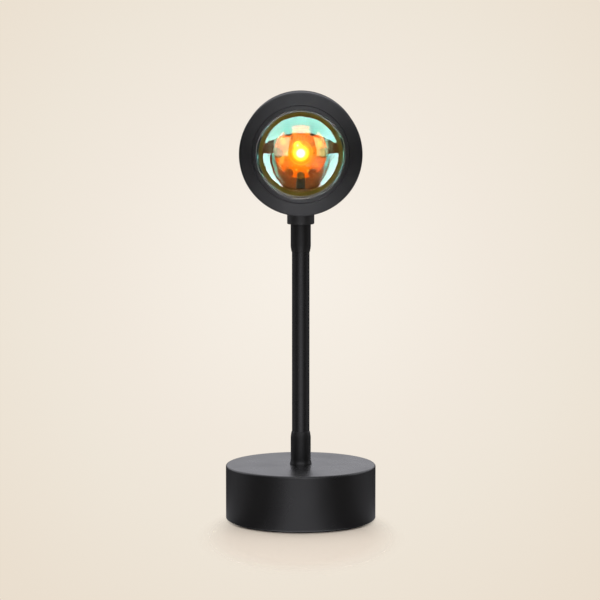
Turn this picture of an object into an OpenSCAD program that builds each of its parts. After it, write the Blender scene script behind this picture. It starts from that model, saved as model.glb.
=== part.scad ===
// Sunset projection lamp: a round weighted base, a bendable neck and a turned
// head with a deep lens. The origin is the centre of the base's underside,
// +Z is up and the lens looks along -Y. All sizes are in millimetres.

/* [Base] */
// Diameter of the base
base_d = 86.6; // [82:0.2:95]
// Height of the base above the table, foot pad included
base_h = 32.5; // [31:0.5:40]
// Radius of the rim round the base's top face
base_rim_r = 1.3; // [0.5:0.1:1.7]
// Radius of the rim round the base's lower edge
base_edge_r = 0.8; // [0.3:0.1:1.2]
// Thickness of the base's side wall
base_wall = 1.8; // [1.5:0.1:2.2]
// Thickness of the base's top
base_top_t = 2.2; // [1.8:0.1:2.8]
// Thickness of the bottom plate
plate_t = 1.5; // [1:0.1:2]
// Height of the gap between the weight and the driver board's socket
weight_top_gap = 1.8; // [1:0.1:5]
// Width of the gap between the weight and the side wall
weight_gap = 2.2; // [1.5:0.1:4]
// Diameter of the hole in the middle of the weight
weight_hole_d = 16; // [10:1:24]
// Thickness of the foam ring under the base
pad_t = 1.6; // [1.3:0.1:2]
// Width of the foam ring
pad_w = 5.5; // [4:0.5:6.5]
// Height at which the foam ring holds the base's lower edge
pad_stand = 1; // [0.6:0.1:1.2]
// Distance from the side wall to the middle of each screw post
post_inset = 12.2; // [11.2:0.2:13.2]
// Diameter of the screw posts under the base's top
post_d = 7; // [6.4:0.2:8]
// Diameter of the threads of the base's and the rear cover's screws
screw_d = 3; // [2.4:0.1:3.4]
// Length of the base's screws
base_screw_len = 11; // [8:0.5:14]

/* [Lead entry and driver] */
// Bore of the gland that the supply lead comes in by
gland_bore_d = 3.6; // [3:0.1:4]
// Diameter of the gland's two flanges
gland_flange_d = 8.4; // [8:0.1:9.4]
// Diameter of the gland between its flanges
gland_neck_d = 6.1; // [5.6:0.1:6.6]
// Thickness of each flange of the gland
gland_flange_t = 1; // [0.8:0.1:1.4]
// Height of the gland's centre above the table
gland_z = 21; // [20.5:0.5:24]
// Width of the driver board
driver_w = 26; // [24:1:32]
// Depth of the driver board
driver_l = 20; // [19:1:22]
// Distance of the driver board's near edge from the neck's axis
driver_y = 12; // [11.5:0.5:13]
// Thickness of the driver board
driver_t = 1.6; // [1:0.1:2]
// Length of the standoffs that carry the driver board
standoff_len = 7; // [6:0.2:8]
// Diameter of the standoffs
standoff_d = 5; // [4.4:0.2:5.6]
// Diameter of the internal lead to the lamp
lead_d = 2.6; // [2:0.1:2.8]

/* [Neck] */
// Diameter of the bendable hose
hose_d = 10.1; // [9.7:0.1:10.4]
// Length of hose that shows between the two sleeves
hose_len = 104; // [100:0.8:120]
// Number of rigid links in the hose
link_count = 15; // [11:2:15]
// Greatest bend at each pivot, in degrees
link_bend = 11.25; // [8:0.25:11.5]
// Wall of each link's socket at its open end
socket_wall = 0.45; // [0.4:0.05:0.6]
// Radial clearance between a ball and its socket
ball_clear = 0.15; // [0.1:0.05:0.2]
// Chamfer on the outer edges of each link
link_chamfer = 0.25; // [0.1:0.05:0.35]
// Outer diameter of the sleeves at the hose's ends
sleeve_d = 11.6; // [11.4:0.1:12.2]
// Height of the lower sleeve
lower_sleeve_len = 19.2; // [17:0.2:24]
// Height of the upper sleeve
upper_sleeve_len = 15.9; // [13:0.1:20]
// Length of the tapered end of each sleeve
sleeve_taper = 2.9; // [2:0.1:3.5]
// Extra radius of the flared foot of the lower sleeve
sleeve_flare = 0.55; // [0.3:0.05:0.8]
// Length of hose held inside the lower sleeve
lower_grip = 9.7; // [8:0.1:11]
// Length of hose held inside the upper sleeve
upper_grip = 6.5; // [6:0.1:8]
// Diameter of the spigot that plugs into each end of the hose
spigot_d = 4.8; // [4.2:0.1:5.2]
// Width across the flats of the nut under the base's top
base_nut_af = 14; // [13.5:0.5:16]
// Thickness of the nut under the base's top
base_nut_h = 5; // [3:0.5:5]
// Diameter of the washer under the base's top
base_washer_d = 20; // [18:1:22]
// Thickness of the washer under the base's top
base_washer_t = 1.2; // [0.8:0.1:1.6]

/* [Swivel] */
// Diameter of the collar between the neck and the head
collar_d = 15.6; // [14.4:0.2:17]
// Height of the collar up to the head's lowest line
collar_h = 6.5; // [5:0.5:9]
// Diameter of the stem that the head turns on
stem_d = 8; // [7:0.1:8.6]
// Thickness of the seat inside the head that the stem's nut pulls on
seat_t = 3; // [2.5:0.1:4]
// Diameter of the washer on the stem
swivel_washer_d = 14; // [13:0.5:14.6]
// Thickness of the washer on the stem
swivel_washer_t = 0.8; // [0.6:0.1:1.2]
// Width across the flats of the nut on the stem
swivel_nut_af = 13; // [12:0.5:13]
// Thickness of the nut on the stem
swivel_nut_h = 4; // [3:0.5:4.5]

/* [Head] */
// Diameter of the head
head_d = 69.2; // [67:0.2:76]
// Length of the head from its rear cover to its front rim
head_len = 62; // [61:1:70]
// Distance from the neck's axis to the back of the head
head_back = 31; // [30.5:0.5:34]
// Thickness of the head's wall
head_wall = 2.5; // [2.2:0.1:2.8]
// Radius of the head's front rim
head_rim_r = 1; // [0.5:0.1:1.6]
// Depth of the step that the heat sink rests against
sink_step = 0.5; // [0.4:0.1:0.7]
// Number of cooling grooves round the back of the head
groove_count = 5; // [3:1:5]
// Distance from one cooling groove to the next
groove_pitch = 3.6; // [3.2:0.1:3.6]
// Width of each cooling groove
groove_w = 1.8; // [1.2:0.1:2.2]
// Depth of each cooling groove
groove_depth = 1; // [0.6:0.1:1.2]

/* [Lens] */
// Diameter of the recess in the head's front
recess_d = 55; // [54:0.5:57]
// Depth at which the lens ring sits below the head's front rim
ring_inset = 0.3; // [0.2:0.1:0.6]
// Thickness of the lens ring's lip
ring_lip_t = 1.2; // [1:0.1:1.6]
// Wall of the lens ring round the lens
ring_wall = 0.9; // [0.8:0.1:1.1]
// Diameter of the window in the lens ring
window_d = 49.2; // [48:0.2:50]
// Thickness of the lens's flat rim
lens_edge_t = 2.2; // [1.8:0.1:2.6]
// Diameter of the lens's two domed faces
dome_d = 43; // [40:0.5:45]
// Radius of curvature of the lens's front face
lens_front_curve = 34; // [30:0.5:40]
// Radius of curvature of the lens's back face
lens_back_curve = 80; // [60:1:120]
// Thickness of the rubber ring behind the lens
gasket_t = 0.8; // [0.6:0.1:1]
// Thickness of the ledge that the lens rests on
ledge_t = 3; // [2.5:0.1:3.4]
// Diameter of the opening in the ledge
ledge_bore_d = 47; // [46:0.5:47.6]
// Thickness of the colour filter
filter_t = 1.1; // [0.9:0.1:1.3]
// Distance from the LED board's face to the colour filter
filter_stand = 4.9; // [4.5:0.1:6]

/* [Light engine] */
// Distance from the neck's axis to the front of the heat sink's pedestal
led_seat = 11.5; // [10.5:0.5:12]
// Distance from the neck's axis to the heat sink's disc
sink_seat = 10; // [9:0.5:11]
// Diameter of the heat sink's pedestal
pedestal_d = 27; // [26.8:0.2:30]
// Thickness of the heat sink's disc
sink_disc_t = 4; // [3:0.5:5]
// Number of cooling fins
fin_count = 12; // [6:6:12]
// Thickness of each cooling fin
fin_t = 1.6; // [1.2:0.1:2]
// Radius that the cooling fins reach out to
fin_reach = 28; // [22:0.5:28]
// Diameter of the star-shaped LED board
star_d = 18; // [17:0.2:19]
// Thickness of the LED board
star_t = 1.6; // [1:0.1:2]
// Radius of the notches round the LED board
notch_r = 1.6; // [1.55:0.05:1.7]
// Distance of the lead's notch in the LED board from its centre
lead_drop = 8.3; // [8:0.1:8.6]
// Diameter of the LED's clear dome
emitter_d = 6.4; // [5:0.2:6.8]
// Rear opening of the light tube
tube_rear_d = 24; // [23.8:0.1:24.2]
// Front opening of the light tube
tube_front_d = 41; // [38:0.5:43]
// Wall of the light tube
tube_wall = 1.2; // [1:0.1:1.4]
// Thickness of the light tube's flange
flange_t = 2.5; // [2:0.1:3]

/* [Rear cover] */
// Thickness of the rear cover
cover_t = 2; // [1.8:0.1:2.6]
// Radius of the rear cover's rim
cover_rim_r = 1.5; // [0.5:0.1:1.7]
// Length of the rear cover's spigot
cover_spigot_len = 3; // [2:0.5:4]
// Distance of the rear cover's screws from its centre
cover_screw_r = 25; // [24:0.5:26]
// Length of the rear cover's screws
cover_screw_len = 8; // [6:0.5:10]
// Number of slots in the rear cover
slot_count = 8; // [4:2:8]
// Width of each slot
slot_w = 2; // [1.4:0.1:2.4]

/* [Hidden] */
$fn = 96;
black = [0.12, 0.12, 0.13];
steel = [0.62, 0.63, 0.65];
iron = [0.3, 0.3, 0.31];
bare_aluminium = [0.75, 0.76, 0.78];
dark_rubber = [0.08, 0.08, 0.09];
board_green = [0.1, 0.35, 0.2];
cut = 1; // how far a cutter runs past the face that it cuts
fit = 0.05; // radial clearance of parts that slide or turn on each other
loose = 0.1; // radial clearance of parts that drop into place
free = 0.3; // clearance round parts that only have to pass

// Heights in the base
base_r = base_d / 2;
base_top_z = base_h;
base_ceiling_z = base_h - base_top_t;
base_inner_r = base_r - base_wall;
plate_top_z = pad_t + plate_t;
plate_r = base_inner_r - free;
pad_r = plate_r - 0.9;
post_ring_r = base_inner_r - post_inset;
post_angles = [30, 150, 270];
post_hole_clear = 0.7;

// Driver board
driver_top_z = base_ceiling_z - standoff_len;
driver_bottom_z = driver_top_z - driver_t;
driver_mid_y = driver_y + driver_l / 2;
driver_screw_x = driver_w / 2 - 3;
socket_drop = 3.1; // from the driver board down to the middle of its lead socket
socket_size = [7, 6, 4.8];
socket_front_y = driver_y + 0.5;
small_screw_d = 2.2;
socket_z = driver_bottom_z - socket_size[2];
weight_h = socket_z - weight_top_gap - plate_top_z;

// Heights along the neck
lead_r = lead_d / 2;
lead_bore_r = lead_r + ball_clear;
hose_r = hose_d / 2;
sleeve_r = sleeve_d / 2;
sleeve_bore_r = hose_r + fit;
nipple_r = hose_r - fit;
lower_sleeve_top_z = base_top_z + lower_sleeve_len;
upper_sleeve_z = lower_sleeve_top_z + hose_len;
swivel_z = upper_sleeve_z + upper_sleeve_len;
lower_hose_end_z = lower_sleeve_top_z - lower_grip;
upper_hose_end_z = upper_sleeve_z + upper_grip;
pivot_count = link_count + 1;
pitch = hose_len / pivot_count;
socket_r = hose_r - socket_wall;
ball_r = socket_r - ball_clear;
link_gap = hose_r * sin(link_bend) + ball_clear;
spigot_web = 1.5;
lower_spigot_len = lower_grip - spigot_web;
upper_spigot_len = upper_grip + pitch / 2 - socket_r - spigot_web;
washer_z = base_ceiling_z - base_washer_t;
base_nut_z = washer_z - base_nut_h;
nipple_low_z = base_nut_z - 1;
flare_h = 2.4;

// The head's swivel
collar_r = collar_d / 2;
stem_r = stem_d / 2;
head_r = head_d / 2;
head_z = swivel_z + collar_h + head_r;
head_inner_r = head_r - head_wall;
sink_bore_r = head_inner_r + sink_step;
collar_rim_r = 0.6;
seat_r = collar_r - collar_rim_r;
seat_top_z = head_z - head_inner_r + seat_t;
swivel_nut_z = seat_top_z + swivel_washer_t;
stem_top_z = swivel_nut_z + swivel_nut_h + 1;

// Distances along the head's axis from the neck's axis, the front being positive
front_h = head_len - head_back;
back_h = -head_back;
cover_face_h = back_h + cover_t;
cover_rim = min(cover_rim_r, cover_t - 0.5);
ring_front_h = front_h - ring_inset;
lip_h = ring_front_h - ring_lip_t;
lens_back_h = lip_h - lens_edge_t;
ledge_front_h = lens_back_h - gasket_t;
ledge_back_h = ledge_front_h - ledge_t;
flange_back_h = ledge_back_h - flange_t;
filter_back_h = led_seat + star_t + filter_stand;
filter_front_h = filter_back_h + filter_t;
sink_face_h = -sink_seat;
sink_back_h = sink_face_h - sink_disc_t;
fin_end_h = cover_face_h + 2;
star_front_h = led_seat + star_t;
groove_end_h = sink_face_h - 0.9;

// Radii in the head
recess_r = recess_d / 2;
ring_r = recess_r - loose;
ring_bore_r = ring_r - ring_wall;
lens_r = ring_bore_r - loose;
window_r = window_d / 2;
dome_r = dome_d / 2;
front_centre_h = lip_h - sqrt(lens_front_curve * lens_front_curve - dome_r * dome_r);
back_centre_h = lens_back_h + sqrt(lens_back_curve * lens_back_curve - dome_r * dome_r);
ledge_bore_r = ledge_bore_d / 2;
tube_slope = (tube_front_d - tube_rear_d) / 2 / (ledge_back_h - led_seat);
filter_r = tube_rear_d / 2 + tube_slope * (filter_back_h - led_seat);
filter_seat_w = 0.9;
flange_r = head_inner_r - 2 * loose;
pedestal_r = pedestal_d / 2;
notch_ring_r = star_d / 2 - 0.6;
cover_post_angles = [90, 210, 330];
cover_post_r = 3;
head_lead_start_z = stem_top_z + free;
lead_bend_r = 4.6;

function two_digits(k) = k < 10 ? str("0", k) : str(k);
link_names = [for (k = [1 : link_count]) str("link_", two_digits(k))];
base_screw_names = [for (k = [1 : 3]) str("base_screw_", k)];
driver_screw_names = [for (k = [1 : 2]) str("driver_screw_", k)];
star_screw_names = [for (k = [1 : 2]) str("star_screw_", k)];
cover_screw_names = [for (k = [1 : 3]) str("cover_screw_", k)];

// ---- Shared shapes -------------------------------------------------------

// Half outline of a turned disc from z0 to z1, with its rims rounded
module disc_outline(r, z0, z1, low_r, high_r) {
    mid_z = (z0 + low_r + z1 - high_r) / 2;
    translate([0, z0 + low_r]) square([r, z1 - z0 - low_r - high_r]);
    if (low_r > 0) {
        translate([0, z0]) square([r - low_r, mid_z - z0]);
        intersection() {
            translate([r - low_r, z0 + low_r]) circle(r = low_r);
            translate([r - low_r, z0]) square(low_r);
        }
    }
    if (high_r > 0) {
        translate([0, mid_z]) square([r - high_r, z1 - mid_z]);
        intersection() {
            translate([r - high_r, z1 - high_r]) circle(r = high_r);
            translate([r - high_r, z1 - high_r]) square(high_r);
        }
    }
}

// Tube from z0 to z1
module tube(outer_r, inner_r, z0, z1) {
    translate([0, 0, z0]) difference() {
        cylinder(r = outer_r, h = z1 - z0);
        translate([0, 0, -cut]) cylinder(r = inner_r, h = z1 - z0 + 2 * cut);
    }
}

// Hexagonal nut from z0 to z1
module hex_nut(across_flats, bore_r, z0, z1) {
    translate([0, 0, z0]) difference() {
        cylinder(d = across_flats / cos(30), h = z1 - z0, $fn = 6);
        translate([0, 0, -cut]) cylinder(r = bore_r, h = z1 - z0 + 2 * cut);
    }
}

// Countersunk screw whose flat head faces down at z = 0
module countersunk_screw(d, len) {
    head_r = d * 0.93;
    head_h = d * 0.45;
    difference() {
        union() {
            cylinder(r1 = head_r, r2 = d / 2, h = head_h);
            cylinder(d = d, h = len);
        }
        for (a = [0, 90]) {
            rotate([0, 0, a]) translate([-d / 2, -0.3, -cut]) cube([d, 0.6, cut + head_h / 2]);
        }
    }
}

// Pan-head screw whose head stands above z = 0 and whose thread goes down
module pan_screw(d, len) {
    head_h = d * 0.55;
    difference() {
        union() {
            rotate_extrude() disc_outline(d * 0.85, 0, head_h, 0, head_h * 0.6);
            translate([0, 0, -len]) cylinder(d = d, h = len + 0.1);
        }
        for (a = [0, 90]) {
            rotate([0, 0, a]) translate([-d / 2, -0.25, head_h / 2]) cube([d, 0.5, head_h]);
        }
    }
}

// Bend in the lead, a quarter turn from straight up at the origin towards +Y
module lead_bend() {
    translate([0, lead_bend_r, 0]) rotate([90, 0, -90])
        rotate_extrude(angle = 90) translate([lead_bend_r, 0]) circle(r = lead_r);
}

// Turns the children's +Z to the head's axis, with the front towards -Y
module on_head_axis() {
    translate([0, 0, head_z]) rotate([90, 0, 0]) children();
}

// ---- Base ----------------------------------------------------------------

module base_outline() {
    difference() {
        disc_outline(base_r, pad_stand, base_top_z, base_edge_r, base_rim_r);
        translate([-cut, pad_stand - cut]) square([base_inner_r + cut, base_ceiling_z - pad_stand + cut]);
    }
}

module base_shell() {
    post_r = post_d / 2;
    color(black) difference() {
        union() {
            rotate_extrude() base_outline();
            for (a = post_angles) rotate([0, 0, a]) translate([post_ring_r, 0, plate_top_z])
                cylinder(r = post_r, h = base_ceiling_z - plate_top_z + 0.5);
            for (side = [-1, 1]) translate([side * driver_screw_x, driver_mid_y, driver_top_z])
                cylinder(d = standoff_d, h = standoff_len + 0.5);
        }
        translate([0, 0, base_ceiling_z - cut])
            cylinder(r = nipple_r + loose, h = base_top_t + 2 * cut);
        translate([0, base_inner_r - 2 * cut, gland_z]) rotate([-90, 0, 0])
            cylinder(r = gland_neck_d / 2 + fit, h = base_wall + 4 * cut);
        for (a = post_angles) rotate([0, 0, a]) translate([post_ring_r, 0, plate_top_z - cut])
            cylinder(r = screw_d / 2 + fit, h = base_screw_len + 2 * cut);
        for (side = [-1, 1]) translate([side * driver_screw_x, driver_mid_y, driver_top_z - cut])
            cylinder(r = small_screw_d / 2 + fit, h = standoff_len - 1);
    }
}

module base_weight() {
    hole_r = post_d / 2 + post_hole_clear;
    color(iron) translate([0, 0, plate_top_z]) difference() {
        cylinder(r = base_inner_r - weight_gap, h = weight_h);
        translate([0, 0, -cut]) cylinder(d = weight_hole_d, h = weight_h + 2 * cut);
        for (a = post_angles) rotate([0, 0, a]) translate([post_ring_r, 0, -cut])
            cylinder(r = hole_r, h = weight_h + 2 * cut);
    }
}

module bottom_plate() {
    head_r = screw_d * 0.93;
    head_h = screw_d * 0.45;
    color(steel) translate([0, 0, pad_t]) difference() {
        cylinder(r = plate_r, h = plate_t);
        for (a = post_angles) rotate([0, 0, a]) translate([post_ring_r, 0, 0]) {
            translate([0, 0, -cut]) cylinder(r = screw_d / 2 + loose, h = plate_t + 2 * cut);
            translate([0, 0, -0.01]) cylinder(r1 = head_r + loose, r2 = screw_d / 2 + loose, h = head_h);
        }
    }
}

module foot_pad() {
    color(dark_rubber) tube(pad_r, pad_r - pad_w, 0, pad_t);
}

module base_screw(k) {
    color(steel) rotate([0, 0, post_angles[k - 1]]) translate([post_ring_r, 0, pad_t])
        countersunk_screw(screw_d, base_screw_len);
}

// Rubber bush in the rear wall: two flanges that grip the wall, and a bore
module cable_gland() {
    flange_r = gland_flange_d / 2;
    grip_y = sqrt(base_inner_r * base_inner_r - flange_r * flange_r);
    inner_end_y = grip_y - gland_flange_t;
    len = base_r + gland_flange_t - inner_end_y;
    color(dark_rubber) translate([0, inner_end_y, gland_z]) rotate([-90, 0, 0]) difference() {
        union() {
            cylinder(d = gland_neck_d, h = len);
            cylinder(r = flange_r, h = gland_flange_t);
            translate([0, 0, len - gland_flange_t]) rotate_extrude()
                disc_outline(flange_r, 0, gland_flange_t, 0, gland_flange_t / 2);
        }
        translate([0, 0, -cut]) cylinder(d = gland_bore_d, h = len + 2 * cut);
    }
}

module driver_board() {
    color(board_green) difference() {
        translate([-driver_w / 2, driver_y, driver_bottom_z]) cube([driver_w, driver_l, driver_t]);
        for (side = [-1, 1]) translate([side * driver_screw_x, driver_mid_y, driver_bottom_z - cut])
            cylinder(r = small_screw_d / 2 + fit, h = driver_t + 2 * cut);
    }
    // the lead's socket, a coil and a chip under the board, a capacitor and a chip on it
    color("ivory") translate([-socket_size[0] / 2, socket_front_y, socket_z]) cube(socket_size);
    color(iron) translate([2, driver_mid_y + 4, driver_bottom_z - 3]) cylinder(d = 7, h = 3);
    color(black) translate([-7, driver_mid_y + 4, driver_bottom_z - 1.4]) cube([5, 4, 1.4]);
    color(steel) translate([0, driver_mid_y + 5, driver_top_z]) cylinder(d = 6, h = 5);
    color(black) translate([-3, driver_mid_y - 5, driver_top_z]) cube([6, 5, 1.5]);
}

module driver_screw(k) {
    color(steel) translate([k == 1 ? -driver_screw_x : driver_screw_x, driver_mid_y, driver_bottom_z])
        rotate([180, 0, 0]) pan_screw(small_screw_d, driver_t + standoff_len / 2);
}

// Lead from the driver board's socket to the first pivot of the neck
module base_lead() {
    run_z = driver_bottom_z - socket_drop;
    color(dark_rubber) {
        translate([0, lead_bend_r, run_z]) rotate([-90, 0, 0])
            cylinder(r = lead_r, h = socket_front_y - lead_bend_r);
        translate([0, 0, run_z + lead_bend_r]) mirror([0, 0, 1]) lead_bend();
        translate([0, 0, run_z + lead_bend_r])
            cylinder(r = lead_r, h = pivot_z(1) + ball_r - loose - run_z - lead_bend_r);
    }
}

// ---- Neck ----------------------------------------------------------------

function pivot_z(k) = lower_sleeve_top_z + (k - 0.5) * pitch;

module lower_nipple() {
    color(steel) difference() {
        union() {
            translate([0, 0, nipple_low_z]) cylinder(r = nipple_r, h = lower_hose_end_z - nipple_low_z);
            translate([0, 0, lower_hose_end_z - cut])
                cylinder(d = spigot_d, h = lower_spigot_len + cut);
        }
        translate([0, 0, nipple_low_z - cut])
            cylinder(r = lead_bore_r, h = lower_hose_end_z + lower_spigot_len - nipple_low_z + 2 * cut);
    }
}

module base_washer() {
    color(steel) tube(base_washer_d / 2, nipple_r + loose, washer_z, base_ceiling_z);
}

module base_nut() {
    color(steel) hex_nut(base_nut_af, nipple_r + fit, base_nut_z, washer_z);
}

// Hose end that is held in the lower sleeve: its top is the first ball
module lower_hose_end() {
    first_z = pivot_z(1);
    shoulder_z = first_z - link_gap;
    color(black) difference() {
        union() {
            rotate_extrude() link_wall_outline(lower_hose_end_z, shoulder_z);
            translate([0, 0, first_z]) sphere(r = ball_r);
        }
        translate([0, 0, lower_hose_end_z - cut]) cylinder(r = lead_bore_r, h = first_z + ball_r);
        translate([0, 0, lower_hose_end_z - cut])
            cylinder(r = spigot_d / 2 + fit, h = lower_spigot_len + cut);
    }
}

// Outline of a link's wall, with its outer edges chamfered
module link_wall_outline(z0, z1) {
    polygon([
        [0, z0],
        [hose_r - link_chamfer / 2, z0],
        [hose_r, z0 + link_chamfer],
        [hose_r, z1 - link_chamfer],
        [hose_r - link_chamfer, z1],
        [0, z1]
    ]);
}

// One rigid link: a socket round the ball below it, and the ball of the next
// pivot on top. It carries its own stretch of the lead in its bore.
module link(k) {
    color(black) translate([0, 0, pivot_z(k)]) {
        difference() {
            union() {
                rotate_extrude() link_wall_outline(0, pitch - link_gap);
                translate([0, 0, pitch]) sphere(r = ball_r);
            }
            sphere(r = socket_r);
            cylinder(r = lead_bore_r, h = pitch + ball_r + cut);
        }
        translate([0, 0, socket_r + loose]) cylinder(r = lead_r, h = pitch + ball_r - socket_r - 2 * loose);
    }
}

// Hose end that is held in the upper sleeve: its bottom is the last socket
module upper_hose_end() {
    last_z = pivot_z(pivot_count);
    color(black) difference() {
        rotate_extrude() link_wall_outline(last_z, upper_hose_end_z);
        translate([0, 0, last_z]) sphere(r = socket_r);
        translate([0, 0, last_z]) cylinder(r = lead_bore_r, h = upper_hose_end_z);
        translate([0, 0, upper_hose_end_z - upper_spigot_len])
            cylinder(r = spigot_d / 2 + fit, h = upper_spigot_len + cut);
    }
}

// Upper end fitting of the hose, with the stem that the head turns on
module upper_nipple() {
    low_z = upper_hose_end_z - upper_spigot_len;
    color(steel) difference() {
        union() {
            translate([0, 0, low_z]) cylinder(d = spigot_d, h = upper_spigot_len + cut);
            translate([0, 0, upper_hose_end_z]) cylinder(r = nipple_r, h = swivel_z - upper_hose_end_z);
            translate([0, 0, swivel_z - cut]) cylinder(r = stem_r, h = stem_top_z - swivel_z + cut);
        }
        translate([0, 0, low_z - cut]) cylinder(r = lead_bore_r, h = stem_top_z - low_z + 2 * cut);
    }
}

// Lead inside the upper end fitting, from the last socket to the stem's top
module upper_lead() {
    low_z = pivot_z(pivot_count) + socket_r + loose;
    color(dark_rubber) translate([0, 0, low_z]) cylinder(r = lead_r, h = stem_top_z - low_z);
}

// Sleeve outline from z = 0, straight and then tapered in to the hose
module sleeve_outline(len) {
    polygon([
        [sleeve_bore_r, 0],
        [sleeve_r, 0],
        [sleeve_r, len - sleeve_taper],
        [sleeve_bore_r + 0.2, len],
        [sleeve_bore_r, len]
    ]);
}

module lower_sleeve() {
    color(dark_rubber) translate([0, 0, base_top_z]) rotate_extrude() {
        sleeve_outline(lower_sleeve_len);
        polygon([
            [sleeve_bore_r, 0],
            [sleeve_r + sleeve_flare, 0],
            [sleeve_r + sleeve_flare * 0.8, flare_h * 0.3],
            [sleeve_r, flare_h],
            [sleeve_bore_r, flare_h]
        ]);
    }
}

module upper_sleeve() {
    color(dark_rubber) translate([0, 0, swivel_z]) mirror([0, 0, 1]) rotate_extrude()
        sleeve_outline(upper_sleeve_len);
}

module swivel_washer() {
    color(steel) tube(swivel_washer_d / 2, stem_r + loose, seat_top_z, swivel_nut_z);
}

module swivel_nut() {
    color(steel) hex_nut(swivel_nut_af, stem_r + fit, swivel_nut_z, swivel_nut_z + swivel_nut_h);
}

// ---- Head ----------------------------------------------------------------

// Collar under the head, saddle-cut to the barrel
module head_collar() {
    rise = collar_r;
    color(black) difference() {
        translate([0, 0, swivel_z]) rotate_extrude()
            disc_outline(collar_r, 0, collar_h + rise, collar_rim_r, 0);
        translate([0, 0, swivel_z - cut]) cylinder(r = stem_r + fit, h = collar_h + rise + 2 * cut);
        on_head_axis() cylinder(r = head_r, h = 4 * collar_r, center = true);
    }
}

// Half outline of the turned barrel: x is the radius and y runs to the front
module barrel_outline() {
    difference() {
        disc_outline(head_r, cover_face_h, front_h, 0.3, head_rim_r);
        translate([-cut, cover_face_h - cut]) square([sink_bore_r + cut, sink_face_h - cover_face_h + cut]);
        translate([-cut, sink_face_h - 0.01]) square([head_inner_r + cut, ledge_back_h - sink_face_h + 0.01]);
        translate([-cut, ledge_back_h - 0.01]) square([ledge_bore_r + cut, ledge_t + 0.02]);
        translate([-cut, ledge_front_h]) square([recess_r + cut, front_h - ledge_front_h + cut]);
        for (k = [0 : groove_count - 1]) {
            translate([head_r - groove_depth, groove_end_h - groove_w - k * groove_pitch])
                square([groove_depth + cut, groove_w]);
        }
    }
}

module head_barrel() {
    color(black) difference() {
        on_head_axis() rotate_extrude() barrel_outline();
        translate([0, 0, head_z - head_r - cut])
            cylinder(r = stem_r + free, h = head_wall + 3 * cut);
    }
}

// Block inside the barrel with a flat top, on which the stem's nut pulls
module swivel_seat() {
    color(bare_aluminium) difference() {
        intersection() {
            translate([0, 0, seat_top_z - seat_t - cut]) cylinder(r = seat_r, h = seat_t + cut);
            on_head_axis() cylinder(r = head_inner_r, h = 4 * collar_r, center = true);
        }
        translate([0, 0, seat_top_z - seat_t - 2 * cut]) cylinder(r = stem_r + fit, h = seat_t + 3 * cut);
    }
}

// Lead from the stem up and forward through the pedestal's slot to the LED board
module head_lead() {
    run_z = head_z - lead_drop;
    color(dark_rubber) {
        translate([0, 0, head_lead_start_z])
            cylinder(r = lead_r, h = run_z - lead_bend_r - head_lead_start_z);
        translate([0, 0, run_z - lead_bend_r]) mirror([0, 1, 0]) lead_bend();
        translate([0, -lead_bend_r, run_z]) rotate([90, 0, 0])
            cylinder(r = lead_r, h = star_front_h - lead_bend_r);
    }
}

module heat_sink() {
    slot_r = lead_r + 2 * loose;
    color(bare_aluminium) on_head_axis() difference() {
        union() {
            translate([0, 0, sink_back_h]) cylinder(r = sink_bore_r - loose, h = sink_disc_t);
            translate([0, 0, sink_back_h]) cylinder(r = pedestal_r, h = led_seat - sink_back_h);
            translate([0, 0, fin_end_h]) cylinder(r = pedestal_r / 2, h = sink_back_h - fin_end_h + cut);
            for (k = [0 : fin_count - 1]) rotate([0, 0, (k + 0.5) * 360 / fin_count])
                translate([0, -fin_t / 2, fin_end_h]) cube([fin_reach, fin_t, sink_back_h - fin_end_h + cut]);
            for (a = cover_post_angles) rotate([0, 0, a])
                translate([cover_screw_r, 0, cover_face_h])
                    cylinder(r = cover_post_r, h = sink_back_h - cover_face_h + cut);
        }
        // slot for the lead
        translate([-slot_r, -pedestal_r - cut, -slot_r])
            cube([2 * slot_r, pedestal_r + cut - lead_drop + slot_r, led_seat + slot_r + cut]);
        for (a = cover_post_angles) rotate([0, 0, a]) translate([cover_screw_r, 0, cover_face_h - cut])
            cylinder(r = screw_d / 2 + fit, h = cover_screw_len + cut);
        for (side = [0, 180]) rotate([0, 0, side]) translate([notch_ring_r, 0, led_seat - 7])
            cylinder(r = small_screw_d / 2 + fit, h = 7 + cut);
    }
}

// Star-shaped board with round notches, screw slots and a notch for the lead
module led_board() {
    color("white") on_head_axis() translate([0, 0, led_seat]) difference() {
        cylinder(d = star_d, h = star_t);
        for (a = [60, 120, 240, 300]) rotate([0, 0, a]) translate([notch_ring_r, 0, -cut])
            cylinder(r = notch_r, h = star_t + 2 * cut);
        translate([0, -lead_drop, -cut]) cylinder(r = lead_r + 2 * loose, h = star_t + 2 * cut);
        for (side = [0, 180]) rotate([0, 0, side]) translate([notch_ring_r, 0, -cut])
            cylinder(r = small_screw_d / 2 + fit, h = star_t + 2 * cut);
    }
}

module led_emitter() {
    foot_t = 0.5;
    foot_w = 1.3;
    color("gold") on_head_axis() translate([0, 0, star_front_h]) rotate_extrude() {
        square([emitter_d / 2 + foot_w, foot_t]);
        intersection() {
            translate([0, foot_t]) circle(d = emitter_d);
            square(emitter_d);
        }
    }
}

module star_screw(k) {
    color(steel) on_head_axis() rotate([0, 0, k == 1 ? 0 : 180])
        translate([notch_ring_r, 0, star_front_h]) pan_screw(small_screw_d, star_t + 5);
}

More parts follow.
